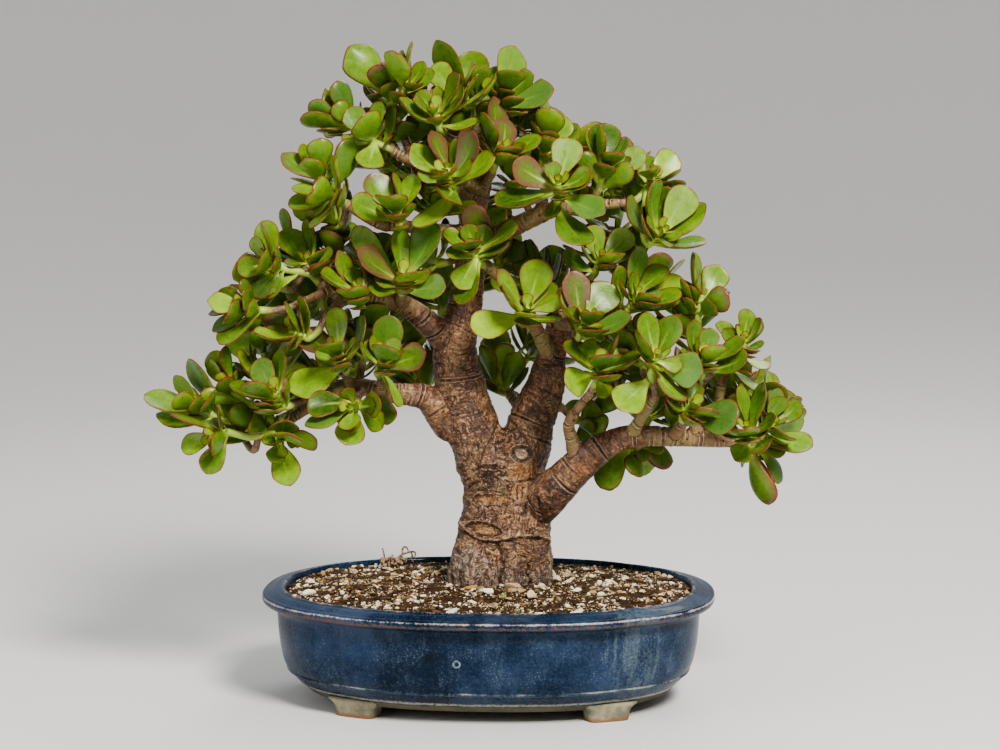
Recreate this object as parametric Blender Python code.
"""A jade bonsai in an oval glazed pot, in metres, +Z up.

The pot's long way is X. The tree is laid out from the photograph: a place that was read there by eye is a
picture point (x, y) with a depth in millimetres behind the pot's middle plane, and at() turns it into metres.
Every green branchlet is one body that grows from square stem sections: a leaf or a side shoot takes the
place of one face of its stem, so the body stays closed without any cutting.
"""
import math
import random

import bmesh
import bpy
from mathutils import Matrix, Vector
from mathutils.bvhtree import BVHTree

MM = 0.001
GAP = 0.3 * MM

# The view that the picture points were read in
EYE_DISTANCE = 1.600
EYE_HEIGHT = 0.3955
EYE_SHIFT = 0.0075
EYE_DIP = math.radians(6.52)
EYE_TURN = math.radians(3.8)
PICTURE_MIDDLE = (500, 375)
PICTURE_FOCAL = 2472
TURN = Matrix.Rotation(EYE_TURN, 3, "Z")
EYE = TURN @ Vector((EYE_SHIFT, -EYE_DISTANCE, EYE_HEIGHT))
UP = Vector((0, 0, 1))

# Pot: half its length at each height, outer side upward, then the rim and the inside downward
POT_CORNER_POWER = 2.35
POT_NARROWER = 0.040
POT_SIDES = 36
POT_CREASE = 0.012
POT_FLOOR = 0.0160
POT_OUTSIDE = (
    (0.1165, 0.0075), (0.1215, 0.0105), (0.1260, 0.0150), (0.1305, 0.0205), (0.1330, 0.0220),
    (0.1352, 0.0290), (0.1370, 0.0380), (0.1385, 0.0595), (0.1405, 0.0635),
)
POT_RIM = ((0.1460, 0.0655), (0.1485, 0.0685), (0.1475, 0.0718), (0.1400, 0.0738), (0.1345, 0.0745))
POT_INSIDE = ((0.1328, 0.0735), (0.1310, 0.0400), (0.1180, POT_FLOOR))
FOOT_HALF_LENGTH = 0.0137
FOOT_HALF_WIDTH = 0.0085
FOOT_PLACE = (0.0790, 0.0590)
FOOT_TURN = math.radians(22)
FOOT_FLARE = 1.18
FOOT_TOP = 0.0115

# Soil: a low mound with a blind hole for the trunk
SOIL_EDGE = 0.0712
SOIL_MIDDLE = 0.0745
HOLE_FLOOR = 0.0450

# Trunk: picture point of its middle and half its width there, both in picture pixels
TRUNK_DEPTH = 14
TRUNK_SIDES = 16
TRUNK_FLATNESS = 0.80
TRUNK = (
    (498, 590, 51), (498, 575, 51), (500, 560, 49), (502, 545, 47), (505, 522, 45), (505, 505, 41),
    (504, 490, 39), (503, 475, 39), (503, 460, 41), (503, 450, 36), (503, 444, 24),
)

# Limbs: (x, y, depth in mm, half width in pixels) along each, then the number of sides
LIMBS = {
    "left_limb": (8, (
        (490, 472, 14, 30), (478, 440, 13, 28), (470, 420, 11, 26), (463, 395, 9, 25), (457, 370, 7, 24),
        (455, 345, 6, 21), (462, 322, 5, 18), (466, 300, 5, 17), (469, 275, 5, 16), (472, 250, 5, 14),
        (473, 225, 6, 12), (478, 200, 7, 11), (482, 178, 8, 10), (480, 150, 8, 8), (476, 130, 8, 6))),
    "right_limb": (8, (
        (515, 472, 15, 28), (525, 445, 17, 26), (532, 420, 19, 23), (540, 400, 20, 21), (547, 380, 20, 19),
        (551, 358, 20, 15), (556, 338, 19, 13), (560, 318, 18, 12), (567, 298, 15, 10), (573, 284, 11, 8))),
    "low_left": (8, (
        (464, 430, 10, 18), (448, 424, 7, 16), (436, 407, 3, 15), (424, 397, 0, 13), (392, 393, -8, 10),
        (350, 386, -15, 8), (326, 397, -18, 7), (306, 409, -20, 6), (290, 419, -21, 6))),
    "mid_left": (8, (
        (458, 350, 5, 17), (443, 336, 2, 15), (428, 323, -3, 13), (402, 304, -8, 10), (375, 299, -11, 8),
        (345, 297, -13, 7), (319, 283, -14, 6))),
    "upper_right": (8, (
        (474, 252, 5, 11), (490, 240, 2, 10), (503, 232, -2, 10), (540, 215, -9, 9), (560, 209, -11, 7),
        (622, 203, -16, 5))),
    "low_right": (8, (
        (512, 512, 14, 20), (536, 504, 10, 22), (553, 490, -4, 20), (570, 474, -11, 18), (590, 456, -16, 16),
        (610, 443, -19, 13), (635, 436, -21, 11), (690, 438, -23, 9), (746, 443, -25, 5))),
    "crossing": (6, ((550, 356, 16, 9), (534, 324, 2, 7), (520, 298, -8, 6), (488, 267, -27, 5))),
    "upper_left": (6, (
        (473, 232, 4, 9), (450, 232, -6, 8), (402, 226, -20, 6), (380, 224, -24, 6), (345, 203, -27, 5))),
    "top_left": (6, ((478, 196, 6, 8), (455, 186, -2, 7), (415, 164, -11, 6), (392, 150, -14, 5))),
}

# Brown twigs that carry a leafy stem each, given as the limbs are
TWIG_SIDES = 4
TWIGS = {
    "t_L5": ((320, 400, -19, 5), (303, 399, -32, 4)),
    "t_L8": ((350, 386, -15, 6), (346, 375, -28, 4)),
    "t_L9": ((382, 393, -10, 6), (381, 379, -29, 4)),
    "t_L10": ((362, 389, -13, 6), (358, 397, -32, 4)),
    "t_M2": ((330, 290, -14, 5), (302, 302, -29, 4)),
    "t_M5": ((345, 297, -13, 5), (326, 315, -28, 4)),
    "t_M7": ((365, 298, -12, 6), (362, 297, -31, 4)),
    "t_M8": ((402, 304, -8, 7), (401, 293, -28, 5)),
    "t_D1": ((405, 226, -19, 6), (401, 221, -31, 4)),
    "t_U2": ((418, 166, -10, 6), (406, 143, -7, 4)),
    "t_U6": ((480, 154, 8, 6), (461, 141, -6, 4)),
    "t_U7": ((480, 190, 7, 7), (465, 181, -20, 5)),
    "t_E1": ((482, 170, 8, 7), (495, 138, 4, 5)),
    "t_E2": ((479, 196, 7, 6), (492, 174, -14, 4)),
    "t_E3": ((540, 215, -9, 7), (544, 190, -4, 5)),
    "t_E4": ((552, 211, -10, 7), (557, 201, -28, 5)),
    "t_E5": ((590, 206, -13, 6), (598, 191, -17, 4)),
    "t_D7": ((526, 310, -3, 6), (526, 314, -18, 4)),
    "t_F3": ((559, 320, 18, 10), (568, 324, -8, 7), (573, 324, -24, 5)),
    "t_F4": ((565, 300, 16, 9), (590, 306, 2, 6), (613, 305, -9, 5)),
    "t_F9": ((578, 465, -14, 10), (572, 440, -20, 7), (569, 424, -26, 6), (578, 408, -32, 5), (590, 393, -38, 4)),
    "t_F8": ((630, 437, -21, 8), (640, 420, -32, 6), (655, 396, -46, 4)),
    "t_F10": ((672, 438, -22, 7), (683, 424, -38, 5)),
    "t_F7": ((698, 439, -23, 7), (695, 415, -28, 6), (698, 391, -36, 4)),
    "t_F6": ((712, 440, -24, 7), (717, 410, -12, 6), (723, 378, -8, 5)),
    "t_B1": ((640, 437, -19, 7), (637, 446, 4, 5)),
    "t_FK": ((531, 418, 22, 9), (509, 394, 42, 5)),
    "t_DK": ((541, 400, 21, 9), (562, 408, 38, 5)),
    "t_R1": ((378, 392, -11, 7), (345, 382, 24, 5)),
    "t_R2": ((388, 302, -10, 7), (352, 300, 24, 5)),
    "t_R3": ((478, 203, 7, 8), (441, 192, 42, 5)),
    "t_R4": ((481, 160, 8, 7), (489, 132, 34, 4)),
    "t_R5": ((545, 214, -9, 7), (556, 205, 24, 5)),
    "t_R6": ((459, 335, 5, 11), (450, 322, 46, 6)),
    "t_R7": ((555, 342, 19, 9), (576, 327, 50, 5)),
    "t_R8": ((568, 296, 15, 8), (608, 288, 42, 5)),
    "t_R9": ((640, 436, -21, 8), (646, 424, 22, 5)),
    "t_R10": ((696, 439, -23, 8), (709, 430, 14, 5)),
    "t_R11": ((534, 424, 20, 12), (512, 395, 66, 6)),
    "t_R12": ((466, 410, 10, 14), (440, 400, 50, 6)),
}

# Shoots: the twig or shoot each grows from, its crown (x, y, depth), and the tips of its leaves as
# (x, y, width in pixels). A shoot with a number instead has that many leaves set by the usual rule.
SHOOTS = {
    "L2": ("low_left", (262, 430, -28), ((212, 434, 22), (231, 407, 22), (235, 424, 18), (264, 409, 8))),
    "L1": ("L2", (203, 408, -25), (
        (145, 394, 18), (156, 414, 15), (188, 359, 13), (174, 376, 12), (179, 391, 20))),
    "L3": ("L2", (218, 434, -36), ((208, 445, 9), (181, 448, 18), (206, 474, 22))),
    "L4": ("L2", (281, 440, -38), ((290, 486, 27), (272, 463, 18), (266, 445, 16))),
    "L5": ("t_L5", (279, 396, -45), (
        (257, 359, 23), (266, 374, 10), (279, 350, 12), (230, 383, 12), (286, 381, 6))),
    "L7": ("L5", (252, 366, -18), ((249, 343, 8), (238, 350, 8))),
    "L6": ("L5", (229, 385, -20), ((225, 346, 10), (236, 362, 20), (209, 360, 12), (200, 395, 12))),
    "L8": ("t_L8", (341, 356, -40), (
        (335, 307, 26), (300, 334, 20), (330, 336, 9), (315, 352, 13), (363, 315, 9), (288, 389, 29))),
    "L9": ("t_L9", (381, 362, -46), (
        (391, 315, 28), (426, 352, 25), (399, 340, 17), (372, 335, 8), (398, 407, 22))),
    "L10": ("t_L10", (353, 407, -52), (
        (346, 445, 27), (307, 409, 24), (305, 426, 14), (397, 414, 22), (383, 428, 20), (345, 389, 16))),
    "M3": ("mid_left", (309, 264, -20), ((305, 219, 9), (284, 262, 10), (333, 250, 10))),
    "M4": ("M3", (298, 250, 6), ((283, 208, 10), (290, 235, 14))),
    "M1": ("M3", (273, 264, -28), (
        (262, 221, 21), (253, 237, 12), (237, 266, 20), (247, 300, 9), (269, 299, 12), (254, 297, 16))),
    "M2": ("t_M2", (247, 306, -38), (
        (207, 301, 18), (209, 313, 7), (223, 288, 11), (241, 280, 12), (212, 330, 15), (219, 344, 15))),
    "M5": ("t_M5", (299, 334, -36), ((264, 317, 26), (262, 332, 18), (301, 296, 8))),
    "M7": ("t_M7", (360, 292, -46), ((338, 250, 15), (350, 268, 20), (355, 258, 12))),
    "M8": ("t_M8", (402, 280, -42), (
        (357, 250, 20), (368, 289, 14), (446, 287, 22), (400, 229, 23), (418, 266, 12), (434, 221, 24))),
    "M9": ("M8", (377, 256, -22), ((354, 227, 22), (371, 232, 12))),
    "U10": ("upper_left", (332, 197, -38), ((292, 187, 9), (288, 205, 14))),
    "U9": ("U10", (325, 176, -22), ((282, 153, 18), (320, 138, 24), (351, 152, 13), (352, 138, 8))),
    "D1": ("t_D1", (398, 214, -44), (
        (351, 201, 23), (370, 174, 25), (394, 172, 14), (416, 174, 19), (413, 203, 9))),
    "U8": ("top_left", (371, 137, -20), ((367, 168, 26), (378, 101, 14))),
    "U1": ("U8", (348, 122, -4), (
        (336, 81, 20), (325, 88, 12), (309, 103, 19), (300, 119, 15), (320, 126, 22), (364, 108, 10))),
    "U2": ("t_U2", (388, 96, -6), ((349, 46, 33), (385, 62, 16), (363, 72, 7), (371, 77, 26))),
    "U3": ("U2", (405, 86, -18), ((412, 41, 10), (402, 50, 6), (400, 92, 16), (424, 61, 12))),
    "U6": ("t_U6", (437, 116, -30), (
        (417, 91, 18), (437, 86, 16), (463, 83, 9), (399, 98, 10), (478, 122, 9))),
    "U7": ("t_U7", (449, 176, -44), (
        (412, 144, 21), (432, 130, 14), (457, 138, 18), (474, 131, 22), (495, 157, 18), (446, 199, 28),
        (417, 228, 19))),
    "U5": ("left_limb", (477, 98, 6), ((470, 51, 29), (482, 70, 14))),
    "U4": ("U5", (457, 95, -12), ((436, 40, 22), (435, 63, 22))),
    "E1": ("t_E1", (502, 97, -4), ((515, 46, 33), (534, 75, 27), (554, 89, 22), (485, 78, 14))),
    "E2": ("t_E2", (498, 154, -28), ((493, 96, 18), (505, 117, 26), (541, 136, 14))),
    "E3": ("t_E3", (545, 145, 0), ((550, 106, 32), (567, 117, 22), (545, 97, 8), (578, 124, 14))),
    "E4": ("t_E4", (558, 188, -45), (
        (513, 163, 26), (570, 138, 28), (555, 161, 16), (590, 171, 15), (496, 206, 18), (585, 245, 26),
        (605, 214, 24), (550, 219, 14))),
    "E5": ("t_E5", (603, 172, -20), (
        (582, 152, 18), (590, 128, 16), (606, 123, 29), (610, 142, 11), (644, 150, 22), (627, 137, 10),
        (632, 166, 20))),
    "E6": ("upper_right", (650, 181, -10), ((676, 154, 25), (686, 183, 8), (636, 156, 12), (648, 170, 18))),
    "E7": ("E6", (658, 235, -32), (
        (627, 198, 13), (643, 207, 11), (655, 180, 14), (668, 186, 17), (690, 188, 18), (706, 204, 20),
        (683, 234, 9), (706, 243, 9))),
    "D4": ("crossing", (474, 251, -38), (
        (472, 204, 22), (486, 224, 17), (518, 224, 13), (443, 230, 12), (458, 289, 25), (460, 305, 20))),
    "D7": ("t_D7", (526, 313, -34), (
        (471, 329, 27), (497, 271, 15), (540, 259, 30), (555, 283, 22), (562, 298, 22), (562, 318, 8))),
    "F1": ("right_limb", (599, 262, -18), (
        (591, 225, 22), (607, 237, 10), (631, 231, 24), (636, 247, 12), (562, 254, 16))),
    "F3": ("t_F3", (583, 324, -46), (
        (574, 270, 30), (599, 268, 18), (613, 284, 32), (600, 302, 22), (561, 292, 10), (569, 306, 12),
        (632, 317, 17))),
    "F4": ("t_F4", (634, 300, -30), (
        (618, 266, 12), (641, 246, 20), (641, 273, 24), (668, 267, 18), (685, 281, 16), (682, 295, 14),
        (671, 260, 8))),
    "F9": ("t_F9", (598, 369, -50), (
        (582, 343, 24), (614, 345, 20), (566, 386, 27), (609, 397, 16), (618, 335, 16))),
    "F8": ("t_F8", (655, 362, -60), (
        (646, 312, 20), (676, 315, 30), (683, 366, 16), (704, 372, 32), (618, 409, 33), (686, 402, 14))),
    "F10": ("t_F10", (689, 409, -58), ((738, 418, 34), (697, 382, 16), (718, 425, 13))),
    "F7": ("t_F7", (704, 363, -52), ((712, 328, 21), (748, 355, 20), (694, 319, 14), (698, 338, 10))),
    "F5": ("F7", (701, 302, -30), (
        (693, 252, 8), (720, 265, 26), (700, 275, 6), (690, 286, 8), (729, 296, 24), (715, 305, 19))),
    "F6": ("t_F6", (741, 346, -20), (
        (748, 309, 16), (745, 327, 21), (762, 321, 12), (722, 347, 10), (724, 328, 14), (770, 368, 8),
        (755, 391, 8))),
    "F12": ("low_right", (768, 428, -30), (
        (771, 390, 12), (779, 388, 14), (783, 396, 12), (793, 393, 16), (801, 402, 14), (804, 420, 29),
        (813, 446, 21), (765, 450, 24))),
    "F11": ("F12", (748, 432, -44), ((738, 386, 13), (747, 378, 6), (763, 382, 12), (735, 461, 20))),
    "F13": ("F12", (756, 452, -18), ((769, 505, 19), (777, 497, 8))),
    "B1": ("t_B1", (632, 450, 12), ((600, 488, 27), (633, 475, 26), (651, 471, 28), (673, 462, 20))),
    "FK": ("t_FK", (500, 382, 52), ((481, 345, 12), (501, 345, 8), (519, 352, 22))),
    "DK": ("t_DK", (585, 418, 46), ((572, 400, 20), (598, 405, 18), (607, 428, 20), (588, 442, 18))),
    "R1a": ("t_R1", (322, 372, 52), 5),
    "R1b": ("R1a", (348, 352, 66), 5),
    "R1c": ("R1a", (300, 392, 66), 5),
    "R2a": ("t_R2", (330, 290, 56), 5),
    "R2b": ("R2a", (362, 268, 76), 5),
    "R2c": ("R2a", (302, 312, 72), 5),
    "R3a": ("t_R3", (412, 180, 70), 5),
    "R3b": ("R3a", (442, 150, 86), 5),
    "R3c": ("R3a", (385, 158, 58), 5),
    "R4a": ("t_R4", (478, 108, 60), 5),
    "R4b": ("R4a", (512, 108, 66), 5),
    "R5a": ("t_R5", (572, 182, 56), 5),
    "R5b": ("R5a", (540, 165, 76), 5),
    "R5c": ("R5a", (612, 190, 62), 5),
    "R6a": ("t_R6", (440, 300, 76), 5),
    "R6b": ("R6a", (470, 282, 96), 5),
    "R6c": ("R6a", (420, 330, 92), 5),
    "R7a": ("t_R7", (588, 318, 76), 5),
    "R7b": ("R7a", (560, 288, 96), 5),
    "R7c": ("R7a", (612, 340, 92), 5),
    "R8a": ("t_R8", (630, 274, 66), 5),
    "R8b": ("R8a", (608, 248, 80), 5),
    "R8c": ("R8a", (660, 296, 72), 5),
    "R9a": ("t_R9", (652, 400, 52), 5),
    "R9b": ("R9a", (684, 385, 68), 5),
    "R9c": ("R9a", (622, 385, 72), 5),
    "R10a": ("t_R10", (728, 412, 42), 5),
    "R10b": ("R10a", (748, 388, 56), 5),
    "R11a": ("t_R11", (500, 365, 92), 5),
    "R11b": ("R11a", (532, 350, 108), 5),
    "R12a": ("t_R12", (418, 380, 76), 5),
    "R12b": ("R12a", (440, 355, 98), 5),
}

# The crown's edge in the picture, clockwise from the left tip, which the leaves set by rule stay inside
CROWN_EDGE = (
    (143, 394), (170, 372), (186, 357), (225, 342), (207, 312), (206, 296), (222, 284), (236, 262), (262, 218),
    (280, 208), (290, 190), (281, 170), (282, 152), (300, 140), (299, 118), (307, 100), (322, 84), (340, 78),
    (346, 46), (365, 42), (385, 58), (412, 40), (425, 50), (436, 38), (455, 60), (470, 50), (490, 60), (515, 44),
    (530, 70), (556, 85), (585, 125), (606, 121), (645, 148), (676, 152), (690, 180), (706, 203), (706, 243),
    (695, 252), (720, 262), (732, 290), (750, 308), (765, 318), (772, 365), (790, 385), (805, 400), (813, 446),
    (790, 462), (775, 505), (750, 480), (735, 462), (700, 440), (680, 462), (640, 475), (600, 490), (590, 455),
    (560, 440), (540, 420), (500, 410), (430, 400), (400, 412), (385, 432), (345, 448), (305, 440), (290, 488),
    (270, 470), (255, 445), (222, 442), (206, 476), (180, 450), (165, 420),
)

# How much a shoot turns upward, to the front, and on along its own stem
RISE_SHARE = 0.45
FRONT_SHARE = 0.25
ARRIVAL_SHARE = 0.70

# Leaves and stems
STEM_HALF = 2.3 * MM
STEM_THINS = 0.12
STEM_STEP = 11 * MM
STEP_ALONG = 3.4 * MM
BELOW_CROWN = 0.7
USUAL_SPREAD = math.radians(58)
LEAF_SHAPE = 0.60
LEAF_LONGEST = 42 * MM
LEAF_SHORTEST = 15 * MM
LEAF_USUAL = 29 * MM
LEAF_SECTIONS = ((0.36, 0.40, 0.085), (0.72, 0.50, 0.070))
LEAF_KEEL = 0.45
LEAF_HOLLOW = 0.05
LEAF_LIFT = 1.6 * MM
TIP_HALF = 0.20
CLEARANCE = 0.35 * MM


# Laying the tree out
def at(x, y, depth):
    """The point that the picture shows at (x, y), at a depth in millimetres."""
    across = (x - PICTURE_MIDDLE[0]) / PICTURE_FOCAL
    above = (PICTURE_MIDDLE[1] - y) / PICTURE_FOCAL
    away = EYE_DISTANCE + depth * MM
    rise = away * (above * math.cos(EYE_DIP) - math.sin(EYE_DIP)) / (math.cos(EYE_DIP) + above * math.sin(EYE_DIP))
    forward = away * math.cos(EYE_DIP) - rise * math.sin(EYE_DIP)
    return TURN @ Vector((EYE_SHIFT + across * forward, depth * MM, EYE_HEIGHT + rise))


def seen_at(point):
    """Where the picture shows a point."""
    from_eye = TURN.inverted() @ (point - EYE)
    forward = from_eye.y * math.cos(EYE_DIP) - from_eye.z * math.sin(EYE_DIP)
    rise = from_eye.y * math.sin(EYE_DIP) + from_eye.z * math.cos(EYE_DIP)
    return (PICTURE_MIDDLE[0] + PICTURE_FOCAL * from_eye.x / forward,
            PICTURE_MIDDLE[1] - PICTURE_FOCAL * rise / forward)


def inside_crown(point):
    """Whether the picture shows a point inside the crown's edge."""
    x, y = seen_at(point)
    inside = False
    for (x1, y1), (x2, y2) in zip(CROWN_EDGE, CROWN_EDGE[1:] + CROWN_EDGE[:1]):
        if (y1 > y) != (y2 > y) and x < x1 + (y - y1) * (x2 - x1) / (y2 - y1):
            inside = not inside
    return inside


def pixel_size(point):
    """How many metres one picture pixel covers at a point."""
    return (EYE - point).length / PICTURE_FOCAL


def straight_to(vector, normal):
    """The part of a vector square to a normal, at length 1."""
    return (vector - vector.dot(normal) * normal).normalized()


def ring_around(middle, side, ahead, half):
    """Four corners of a square section, counted the way that faces turn seen from the front."""
    over = ahead.cross(side)
    return [middle + half * (a * side + b * over) for a, b in ((-1, -1), (1, -1), (1, 1), (-1, 1))]


def middle_of(points):
    """The mean of some points."""
    return sum(points, Vector()) / len(points)


def tube_rings(points, sides):
    """Round sections along a limb, for keeping other pieces clear of it."""
    centres = [at(*point[:3]) for point in points]
    rings = []
    for index, centre in enumerate(centres):
        ahead = (centres[min(index + 1, len(centres) - 1)] - centres[max(index - 1, 0)]).normalized()
        side = straight_to(Vector((0.31, 0.95, 0.07)), ahead)
        over = ahead.cross(side)
        radius = points[index][3] * pixel_size(centre)
        turns = [2 * math.pi * k / sides for k in range(sides)]
        rings.append([centre + radius * (math.cos(t) * side + math.sin(t) * over) for t in turns])
    return rings


def surface(rings):
    """A search tree over the skin through some rings."""
    points = [point for ring in rings for point in ring]
    count = len(rings[0])
    faces = []
    for row in range(len(rings) - 1):
        for k in range(count):
            low, high = row * count, (row + 1) * count
            nxt = (k + 1) % count
            faces.append((low + k, low + nxt, high + nxt))
            faces.append((low + k, high + nxt, high + k))
    faces.append(tuple(range((len(rings) - 1) * count, len(rings) * count)))
    return Solid(points, BVHTree.FromPolygons(points, faces))


class Solid:
    """A search tree with the box round it."""

    def __init__(self, points, tree):
        self.low = Vector([min(point[axis] for point in points) for axis in range(3)])
        self.high = Vector([max(point[axis] for point in points) for axis in range(3)])
        self.tree = tree

    def meets(self, other):
        """Whether two surfaces cross."""
        if any(self.low[axis] > other.high[axis] or other.low[axis] > self.high[axis] for axis in range(3)):
            return False
        return bool(self.tree.overlap(other.tree))


class Stem:
    """One shoot's stem: its square sections and what stands on each of its faces."""

    def __init__(self, rings, zone):
        self.rings = rings
        self.zone = zone
        self.taken = {}

    def middle(self, row):
        return middle_of(self.rings[row])

    def slot(self, row, k):
        """The face between two sections, with its middle and its outward direction."""
        low, high = self.rings[row], self.rings[row + 1]
        nxt = (k + 1) % 4
        loop = [low[k], low[nxt], high[nxt], high[k]]
        centre = middle_of(loop)
        outward = (loop[1] - loop[0]).cross(loop[3] - loop[0]).normalized()
        return loop, centre, outward

    def free(self):
        return [(row, k) for row in range(len(self.rings) - 1) for k in range(4) if (row, k) not in self.taken]


def crown_axis(crown, tips, arrival):
    """Which way a shoot points, from where its leaves lie."""
    lean = Vector()
    for tip in tips:
        lean += (tip - crown).normalized()
    if tips:
        lean /= len(tips)
    toward_eye = (EYE - crown).normalized()
    return (lean + RISE_SHARE * UP + FRONT_SHARE * toward_eye + ARRIVAL_SHARE * arrival).normalized()


def stem_path(start, ahead, crown, axis, rows):
    """Middles of a stem's sections: a smooth run to the crown, then short even steps for the leaves."""
    foot = crown - axis * rows * STEP_ALONG * BELOW_CROWN
    reach = (foot - start).length
    pull = 0.38 * reach
    corners = (start, start + ahead * pull, foot - axis * pull, foot)
    steps = max(1, round(reach / STEM_STEP))
    points = []
    for step in range(1, steps + 1):
        t = step / steps
        weights = ((1 - t) ** 3, 3 * t * (1 - t) ** 2, 3 * t * t * (1 - t), t ** 3)
        points.append(sum((w * p for w, p in zip(weights, corners)), Vector()))
    for row in range(1, rows + 1):
        points.append(foot + axis * STEP_ALONG * row)
    return points, steps


def lay_stem(name, first, ahead, crown, tips, solids, leaf_count):
    """Lay one stem from its first section, bowed aside if that keeps it clear of the others."""
    rows = max(2, math.ceil(leaf_count / 2))
    start = middle_of(first)
    arrival = (crown - start).normalized()
    axis = crown_axis(crown, tips, arrival)
    across = straight_to(Vector((1, 0, 0)), arrival)
    bows = [Vector()]
    for size in (4 * MM, 8 * MM, 12 * MM):
        for turn in range(6):
            bows.append(Matrix.Rotation(turn * math.pi / 3, 3, arrival) @ across * size)
    best = None
    for bow in bows:
        points, steps = stem_path(start, ahead, crown, axis, rows)
        for index in range(steps):
            points[index] = points[index] + bow * math.sin(math.pi * (index + 1) / (steps + 1))
        side = first[1] - first[0] + first[2] - first[3]
        rings = [first]
        before = start
        for index, point in enumerate(points):
            after = points[min(index + 1, len(points) - 1)]
            direction = (after - before).normalized()
            side = straight_to(side, direction)
            rings.append(ring_around(point, side, direction, STEM_HALF * (1 - STEM_THINS * index / len(points))))
            before = point
        stem = Stem(rings, steps)
        begin = [a.lerp(b, 0.4) for a, b in zip(rings[0], rings[1])]
        stem.solid = surface([begin] + rings[1:])
        if best is None:
            best = stem
        if not any(stem.solid.meets(solid) for solid in solids):
            return stem
    print("stem not clear:", name)
    return best


def leaf_rings(loop, outward, tip, normal, width):
    """A leaf's sections from the face that it grows on to its tip, and its frame."""
    root = middle_of(loop)
    along = tip - root
    length = along.length
    ahead = along / length
    normal = straight_to(normal, ahead)
    side = normal.cross(ahead)
    lift = LEAF_LIFT * max(0.0, 0.75 - outward.dot(ahead))
    rings = []
    for where, half, keel in LEAF_SECTIONS:
        bend = math.sin(math.pi * where)
        centre = root + along * where - normal * (LEAF_HOLLOW * length * bend) + outward * lift * bend
        wide, deep = half * width * side, keel * length * normal
        under = wide * LEAF_KEEL
        rings.append([centre - under - deep, centre + under - deep, centre + wide, centre - wide])
    left, right = tip - side * TIP_HALF * width, tip + side * TIP_HALF * width
    rings.append([left, right, right, left])
    centre = middle_of(rings[0])
    best = max(range(4), key=lambda m: sum((loop[j] - root).dot(rings[0][(j + m) % 4] - centre) for j in range(4)))
    return [ring[best:] + ring[:best] for ring in rings], normal


def leaf_solids(loop, rings):
    """Two test skins for a leaf: whole, and without the root that its own stem surrounds."""
    grown = []
    for ring in rings:
        centre = middle_of(ring)
        grown.append([point + (point - centre).normalized() * CLEARANCE for point in ring])
    near = [a.lerp(b, 0.08) for a, b in zip(loop, rings[0])]
    centre = middle_of(near)
    near = [centre + (point - centre) * 0.85 for point in near]
    far = [a.lerp(b, 0.42) for a, b in zip(loop, grown[0])]
    return surface([near] + grown), surface([far] + grown)


def face_normal(root, tip, axis, width, full_width):
    """Turn a leaf about its length so that it looks as wide from the eye as it was read."""
    ahead = (tip - root).normalized()
    to_eye = straight_to((EYE - root).normalized(), ahead)
    aside = to_eye.cross(ahead)
    inner = straight_to(axis, ahead)
    share = min(1.0, max(0.2, width / full_width))
    facing = math.copysign(share, inner.dot(to_eye))
    turned = math.copysign(math.sqrt(1 - share * share), inner.dot(aside))
    return facing * to_eye + turned * aside


def choose_slots(stem, ahead, wanted_row):
    """Free faces of a stem, the best first, for a leaf that points ahead."""
    scored = []
    for row, k in stem.free():
        _, _, outward = stem.slot(row, k)
        beside = sum(((row, (k + step) % 4) in stem.taken) for step in (1, 3))
        score = 1.4 * outward.dot(ahead) - 0.22 * abs(row - wanted_row) - 0.35 * beside
        scored.append((score, row, k))
    scored.sort(reverse=True)
    return [(row, k) for _, row, k in scored]


def place_leaf(stem, tries, leaves, stems):
    """Take the first of some tries (row, side, tip, normal, width) that crosses nothing laid before."""
    for row, k, tip, normal, width in tries:
        loop, root, outward = stem.slot(row, k)
        if (tip - root).normalized().dot(outward) < -0.15:
            continue
        rings, normal = leaf_rings(loop, outward, tip, normal, width)
        whole, outer = leaf_solids(loop, rings)
        if any(whole.meets(other) for other in leaves) or any(outer.meets(other) for other in stems):
            continue
        leaves.append(whole)
        stem.taken[(row, k)] = ("leaf", rings, loop, normal, width)
        return True
    return False


def picture_leaf(stem, crown, axis, reading, order, count, leaves, stems):
    """Place a leaf whose tip was read in the picture."""
    x, y, width = reading
    depth = (TURN.inverted() @ crown).y / MM
    flat_tip = at(x, y, depth)
    pixel = pixel_size(crown)
    seen = (flat_tip - crown).length
    length = min(LEAF_LONGEST, max(seen * 1.03, width * pixel / LEAF_SHAPE, LEAF_SHORTEST))
    out_of_plane = math.sqrt(max(0.0, length ** 2 - seen ** 2))
    full_width = max(width * pixel, length * LEAF_SHAPE * 0.92)
    zone = len(stem.rings) - 1 - stem.zone
    wanted = stem.zone + (zone - 1) * order / max(1, count - 1)
    away = (flat_tip - EYE).normalized()

    def off_ideal(sign):
        ahead = (flat_tip + sign * out_of_plane * away - crown).normalized()
        return abs(ahead.angle(axis) - USUAL_SPREAD)

    sign = min((1, -1), key=off_ideal)
    tries = []
    for share in (1.0, 0.6, 1.4, 0.2, -0.5, -1.0, 1.9):
        shift = sign * share * max(out_of_plane, 5 * MM)
        tip = at(x, y, depth + shift / MM)
        ahead = (tip - crown).normalized()
        for row, k in choose_slots(stem, ahead, wanted)[:5]:
            _, root, _ = stem.slot(row, k)
            normal = face_normal(root, tip, axis, width * pixel, full_width)
            for roll in (0, 18, -18, 36, -36):
                turned = Matrix.Rotation(math.radians(roll), 3, ahead) @ normal
                for slim in (1.0, 0.84):
                    tries.append((row, k, tip, turned, full_width * slim))
    return place_leaf(stem, tries, leaves, stems)


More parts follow.
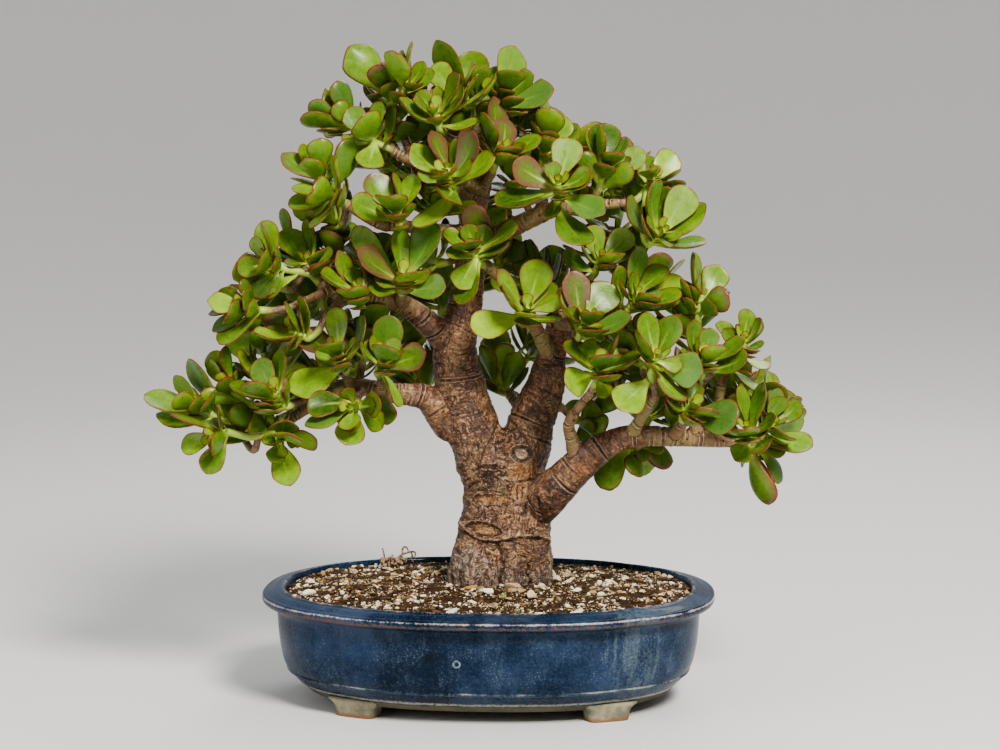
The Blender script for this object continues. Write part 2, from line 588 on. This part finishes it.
def usual_leaf(stem, axis, row, k, chance, leaves, stems):
    """Place a leaf by the plant's own rule: pairs at right angles, spread more the lower they stand."""
    _, root, outward = stem.slot(row, k)
    rows = len(stem.rings) - 1
    spread = math.radians(38 + 34 * (rows - 1 - row) / max(1, rows - stem.zone) + chance.uniform(-7, 7))
    out = straight_to(outward, axis)
    swing = Matrix.Rotation(chance.uniform(-0.3, 0.3), 3, axis)
    ahead = swing @ (out * math.sin(spread) + axis * math.cos(spread))
    length = LEAF_USUAL * chance.uniform(0.78, 1.12)
    tries = []
    for shorter in (1.0, 0.85, 0.7, 0.58):
        for tilt in (0, 14, -14, 26):
            for sway in (0, 16, -16):
                turned = Matrix.Rotation(math.radians(sway), 3, axis) @ ahead
                across = turned.cross(axis)
                turned = Matrix.Rotation(math.radians(tilt), 3, across) @ turned
                tip = root + turned * length * shorter
                if inside_crown(tip):
                    tries.append((row, k, tip, axis, length * shorter * LEAF_SHAPE))
    return place_leaf(stem, tries, leaves, stems)


def end_of(points):
    """The end point and direction of a limb or twig."""
    last, before = at(*points[-1][:3]), at(*points[-2][:3])
    return last, (last - before).normalized()


def lay_tree():
    """Every stem with its leaves, keyed by name, clear of one another."""
    routes = {name: points for name, (_, points) in LIMBS.items()}
    routes.update(TWIGS)
    wood = [surface(tube_rings(points, 8)) for points in routes.values()]
    stems, owners = {}, {}
    for name, (parent, place, tips) in SHOOTS.items():
        crown = at(*place)
        readings = () if isinstance(tips, int) else tips
        count = tips if isinstance(tips, int) else len(tips) + 2
        tip_points = [at(x, y, place[2]) for x, y, _ in readings]
        if parent in routes:
            end, ahead = end_of(routes[parent])
            side = straight_to(Vector((1, 0.2, 0.1)), ahead)
            first = ring_around(end + ahead * GAP, side, ahead, STEM_HALF)
            others = wood + [stem.solid for stem in stems.values()]
            stem = lay_stem(name, first, ahead, crown, tip_points, others, count)
            owners[name] = name
        else:
            carrier = stems[parent]
            toward = (crown - carrier.middle(max(1, carrier.zone - 1))).normalized()
            choices = []
            for row, k in carrier.free():
                _, centre, outward = carrier.slot(row, k)
                if 1 <= row <= carrier.zone + 1 or row == 0 and carrier.zone == 1:
                    heading = (crown - centre).normalized()
                    choices.append((outward.dot(heading) + 0.3 * outward.dot(toward) - 0.1 * abs(row - carrier.zone),
                                    row, k))
            _, row, k = max(choices)
            loop, centre, outward = carrier.slot(row, k)
            others = wood + [stem.solid for stem in stems.values()]
            stem = lay_stem(name, loop, outward, crown, tip_points, others, count)
            carrier.taken[(row, k)] = ("stem", name)
            owners[name] = owners[parent]
        stems[name] = stem
    fill_leaves(stems, wood)
    return stems, owners


def fill_leaves(stems, wood):
    """Put the leaves on: those that the picture shows first, the nearest shoots before the others."""
    solids = wood + [stem.solid for stem in stems.values()]
    leaves = []
    missed = 0
    shown = [name for name in SHOOTS if not isinstance(SHOOTS[name][2], int)]
    shown.sort(key=lambda name: SHOOTS[name][1][2])
    for name in shown:
        stem = stems[name]
        crown = at(*SHOOTS[name][1])
        axis = (stem.middle(-1) - stem.middle(-2)).normalized()
        readings = sorted(
            SHOOTS[name][2],
            key=lambda r: -(at(r[0], r[1], SHOOTS[name][1][2]) - crown).normalized().angle(axis))
        for order, reading in enumerate(readings):
            if not picture_leaf(stem, crown, axis, reading, order, len(readings), leaves, solids):
                missed += 1
    for name, (_, place, tips) in SHOOTS.items():
        stem = stems[name]
        chance = random.Random(name)
        axis = (stem.middle(-1) - stem.middle(-2)).normalized()
        rows = len(stem.rings) - 1
        wanted = tips if isinstance(tips, int) else max(0, 2 - len(tips) // 4)
        placed = 0
        for row in range(rows - 1, max(-1, stem.zone - 2), -1):
            for k in (row % 2, row % 2 + 2):
                if placed < wanted and (row, k) not in stem.taken:
                    placed += usual_leaf(stem, axis, row, k, chance, leaves, solids)
    print("leaves:", len(leaves), "missed readings:", missed)


# Building the bodies
def finish(bm, name, material):
    """Turn a finished mesh into a named object with its material."""
    bmesh.ops.recalc_face_normals(bm, faces=bm.faces)
    bmesh.ops.triangulate(bm, faces=bm.faces)
    mesh = bpy.data.meshes.new(name)
    bm.to_mesh(mesh)
    bm.free()
    mesh.materials.append(material)
    body = bpy.data.objects.new(name, mesh)
    PART.objects.link(body)
    return body


def make_material(name, colour, roughness):
    """A plain surface of one colour."""
    material = bpy.data.materials.new(name)
    material.use_nodes = True
    shader = material.node_tree.nodes["Principled BSDF"]
    shader.inputs["Base Color"].default_value = (*colour, 1)
    shader.inputs["Roughness"].default_value = roughness
    shader.inputs["Metallic"].default_value = 0
    return material


def skin(bm, low, high):
    """Faces between two rings of vertices, where corners may coincide at a tip."""
    count = len(low)
    for k in range(count):
        nxt = (k + 1) % count
        corners = []
        for vertex in (low[k], low[nxt], high[nxt], high[k]):
            if vertex not in corners:
                corners.append(vertex)
        if len(corners) > 2:
            bm.faces.new(corners)


def oval(half_length, height, sides=POT_SIDES):
    """The pot's four-lobed outline at one height, softly creased where its lobes meet."""
    half_width = half_length - POT_NARROWER
    crease_turn = math.atan2(half_width * 0.80, half_length * 0.66)
    points = []
    for index in range(sides):
        turn = 2 * math.pi * index / sides
        c, s = math.cos(turn), math.sin(turn)
        reach = (abs(c / half_length) ** POT_CORNER_POWER + abs(s / half_width) ** POT_CORNER_POWER)
        reach **= -1 / POT_CORNER_POWER
        past = abs(math.atan2(abs(s), abs(c)) - crease_turn)
        reach *= 1 - POT_CREASE * math.exp(-(past / 0.09) ** 2)
        points.append(Vector((reach * c, reach * s, height)))
    return points


def stack(bm, outlines):
    """A closed body through a list of outlines, capped at both ends."""
    rings = [[bm.verts.new(point) for point in outline] for outline in outlines]
    for low, high in zip(rings, rings[1:]):
        skin(bm, low, high)
    bm.faces.new(list(reversed(rings[0])))
    bm.faces.new(rings[-1])


def trunk_outline(index, sides, grow=0.0):
    """The trunk's section at one of its read points, with two root lobes in front near the soil."""
    x, y, half = TRUNK[index]
    centre = at(x, y, TRUNK_DEPTH)
    radius = half * pixel_size(centre)
    flare = max(0.0, 1 - index / 4)
    points = []
    for step in range(sides):
        turn = 2 * math.pi * step / sides
        lobes = 1 + 0.035 * math.cos(3 * turn + 0.5 * index) + 0.02 * math.cos(5 * turn + 1.1)
        groove = 0.16 * flare * math.exp(-(math.remainder(turn + math.pi / 2, 2 * math.pi) / 0.3) ** 2)
        reach = radius * lobes * (1 - groove) + grow
        flat = TURN @ Vector((reach * math.cos(turn), reach * TRUNK_FLATNESS * math.sin(turn), 0))
        points.append(centre + flat)
    return points


def lowered(points, height):
    """An outline moved to a level height."""
    return [Vector((point.x, point.y, height)) for point in points]


def union(body, others, name):
    """Join overlapping solids into one."""
    group = bpy.data.collections.new(name)
    for other in others:
        for holder in list(other.users_collection):
            holder.objects.unlink(other)
        group.objects.link(other)
    bpy.context.scene.collection.children.link(group)
    joined = body.modifiers.new("join", "BOOLEAN")
    joined.operation = "UNION"
    joined.operand_type = "COLLECTION"
    joined.collection = group
    joined.solver = "EXACT"
    mesh = bpy.data.meshes.new_from_object(body.evaluated_get(bpy.context.evaluated_depsgraph_get()))
    body.modifiers.clear()
    body.data = mesh
    for other in others:
        bpy.data.objects.remove(other)
    bpy.data.collections.remove(group)


def make_foot(side_x, side_y, material):
    """One tapered foot under the pot's edge."""
    bm = bmesh.new()
    place = Vector((side_x * FOOT_PLACE[0], side_y * FOOT_PLACE[1], 0))
    swing = Matrix.Rotation(-side_x * side_y * FOOT_TURN, 3, "Z")
    outlines = []
    for height, size in ((0.0, 1.0), (FOOT_TOP * 0.45, 1.06), (FOOT_TOP, FOOT_FLARE)):
        corners = []
        for a, b in ((-1, -1), (1, -1), (1, 1), (-1, 1)):
            flat = Vector((a * FOOT_HALF_LENGTH * size, b * FOOT_HALF_WIDTH * size, 0))
            corners.append(place + swing @ flat + UP * height)
        outlines.append(corners)
    stack(bm, outlines)
    return finish(bm, "foot", material)


def make_pot(material):
    """The pot's shell with its feet."""
    bm = bmesh.new()
    stack(bm, [oval(half, height) for half, height in POT_OUTSIDE + POT_RIM + POT_INSIDE])
    pot = finish(bm, "pot", material)
    union(pot, [make_foot(a, b, material) for a in (-1, 1) for b in (-1, 1)], "feet")
    return pot


def make_soil(material):
    """The soil inside the pot, up to the trunk."""
    bm = bmesh.new()
    inset = 0.4 * MM
    outlines = []
    for half, height in reversed(POT_INSIDE[1:]):
        outlines.append(oval(half - inset, height + inset))
    outlines.append(oval(POT_INSIDE[0][0] - inset * 1.5, SOIL_EDGE))
    outlines.append(oval(0.098, (SOIL_EDGE + SOIL_MIDDLE) / 2))
    hole = trunk_outline(0, POT_SIDES, GAP * 1.3)
    outlines.append(lowered(hole, SOIL_MIDDLE))
    outlines.append(lowered(hole, HOLE_FLOOR))
    stack(bm, outlines)
    return finish(bm, "soil", material)


def make_limb(name, points, sides, material):
    """A limb or twig as a tapering tube with closed ends."""
    curve = bpy.data.curves.new(name, "CURVE")
    curve.dimensions = "3D"
    curve.bevel_depth = 1.0
    curve.bevel_resolution = (sides - 4) // 2
    curve.use_fill_caps = True
    spline = curve.splines.new("POLY")
    spline.points.add(len(points) - 1)
    for spot, reading in zip(spline.points, points):
        place = at(*reading[:3])
        spot.co = (*place, 1)
        spot.radius = reading[3] * pixel_size(place)
    tube = bpy.data.objects.new(name, curve)
    bpy.context.scene.collection.objects.link(tube)
    mesh = bpy.data.meshes.new_from_object(tube.evaluated_get(bpy.context.evaluated_depsgraph_get()))
    bpy.data.objects.remove(tube)
    bm = bmesh.new()
    bm.from_mesh(mesh)
    bmesh.ops.remove_doubles(bm, verts=bm.verts, dist=0.01 * MM)
    bpy.data.meshes.remove(mesh)
    return finish(bm, name, material)


def make_wood(material):
    """Trunk, limbs and twigs as one body, standing in the soil's hole."""
    bm = bmesh.new()
    foot = trunk_outline(0, TRUNK_SIDES)
    outlines = [lowered(foot, HOLE_FLOOR + GAP), lowered(foot, SOIL_MIDDLE + GAP)]
    outlines += [trunk_outline(index, TRUNK_SIDES) for index in range(1, len(TRUNK))]
    stack(bm, outlines)
    wood = finish(bm, "wood", material)
    limbs = [make_limb(name, points, sides, material) for name, (sides, points) in LIMBS.items()]
    limbs += [make_limb(name, points, TWIG_SIDES, material) for name, points in TWIGS.items()]
    union(wood, limbs, "limbs")
    return wood


def grow(bm, stems, name, first):
    """Add one stem to a body, with the leaves and side shoots on its faces."""
    stem = stems[name]
    rows = [first]
    for ring in stem.rings[1:]:
        rows.append([bm.verts.new(point) for point in ring])
    for row in range(len(rows) - 1):
        for k in range(4):
            nxt = (k + 1) % 4
            loop = [rows[row][k], rows[row][nxt], rows[row + 1][nxt], rows[row + 1][k]]
            on_it = stem.taken.get((row, k))
            if on_it is None:
                bm.faces.new(loop)
            elif on_it[0] == "stem":
                grow(bm, stems, on_it[1], loop)
            else:
                low = loop
                for ring in on_it[1][:-1]:
                    high = [bm.verts.new(point) for point in ring]
                    skin(bm, low, high)
                    low = high
                ends = {}
                for point in on_it[1][-1]:
                    key = tuple(point)
                    if key not in ends:
                        ends[key] = bm.verts.new(point)
                skin(bm, low, [ends[tuple(point)] for point in on_it[1][-1]])
    bm.faces.new(rows[-1])


def make_leafy_stem(name, stems, material):
    """One green branchlet, from its twig's end to its leaf tips."""
    bm = bmesh.new()
    first = [bm.verts.new(point) for point in stems[name].rings[0]]
    bm.faces.new(list(reversed(first)))
    grow(bm, stems, name, first)
    return finish(bm, "stem_" + name, material)


for old in list(bpy.data.objects):
    bpy.data.objects.remove(old)
PART = bpy.data.collections.new("jade_bonsai")
bpy.context.scene.collection.children.link(PART)

GLAZE = make_material("blue_glaze", (0.03, 0.07, 0.16), 0.3)
SOIL = make_material("gritty_soil", (0.10, 0.07, 0.05), 0.95)
BARK = make_material("bark", (0.24, 0.14, 0.09), 0.8)
LEAF = make_material("leaf", (0.14, 0.26, 0.07), 0.4)

STEMS, OWNERS = lay_tree()
make_pot(GLAZE)
make_soil(SOIL)
make_wood(BARK)
for key in STEMS:
    if OWNERS[key] == key:
        make_leafy_stem(key, STEMS, LEAF)

# The origin is under the middle of the whole plant's box, on the surface that the feet stand on
CORNERS = [vertex.co for body in PART.objects for vertex in body.data.vertices]
MIDDLE = [(min(c[axis] for c in CORNERS) + max(c[axis] for c in CORNERS)) / 2 for axis in range(2)]
for body in PART.objects:
    body.location = (-MIDDLE[0], -MIDDLE[1], 0)
